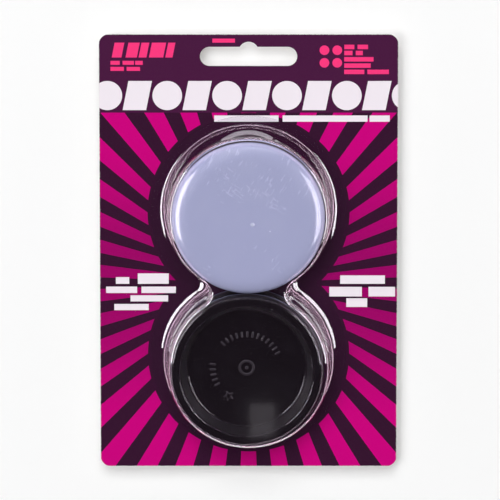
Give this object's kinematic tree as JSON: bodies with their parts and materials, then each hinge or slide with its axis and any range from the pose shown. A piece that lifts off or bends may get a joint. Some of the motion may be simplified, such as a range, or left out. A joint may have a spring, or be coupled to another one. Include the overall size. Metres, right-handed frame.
{
  "type": "furniture slider pack",
  "caption": "Hanging card with a clear two-pocket blister that holds stacks of round furniture sliders, each a hard dished sole with a soft cup pressed into it.",
  "frame": {"origin": "centre of the card's back, on the surface that the pack lies on", "axes": "+Z out of the printed face, +Y towards the hanging slot, +X to the right of the face"},
  "size_m": [0.117, 0.1736, 0.0207],
  "materials": {
    "printed_card": "gloss",
    "clear_film": "gloss",
    "slider_sole": "satin",
    "slider_cup": "satin"
  },
  "bodies": {
    "pack": {"backing_card": "printed_card", "blister": "clear_film"},
    "upper_front_slider": {"upper_front_slider_sole": "slider_sole", "upper_front_slider_cup": "slider_cup"},
    "upper_rear_slider": {"upper_rear_slider_sole": "slider_sole", "upper_rear_slider_cup": "slider_cup"},
    "lower_front_slider": {"lower_front_slider_sole": "slider_sole", "lower_front_slider_cup": "slider_cup"},
    "lower_rear_slider": {"lower_rear_slider_sole": "slider_sole", "lower_rear_slider_cup": "slider_cup"}
  },
  "joints": [
    {"name": "upper_front_slider_turn", "type": "hinge", "parent": "pack", "child": "upper_front_slider", "pos_m": [-0.00018, 0.01688, 0], "axis": [0, 0, 1], "continuous": true},
    {"name": "upper_rear_slider_turn", "type": "hinge", "parent": "pack", "child": "upper_rear_slider", "pos_m": [-0.00018, 0.01688, 0], "axis": [0, 0, 1], "continuous": true},
    {"name": "lower_front_slider_turn", "type": "hinge", "parent": "pack", "child": "lower_front_slider", "pos_m": [-0.00073, -0.04383, 0], "axis": [0, 0, 1], "continuous": true},
    {"name": "lower_rear_slider_turn", "type": "hinge", "parent": "pack", "child": "lower_rear_slider", "pos_m": [-0.00073, -0.04383, 0], "axis": [0, 0, 1], "continuous": true}
  ]
}
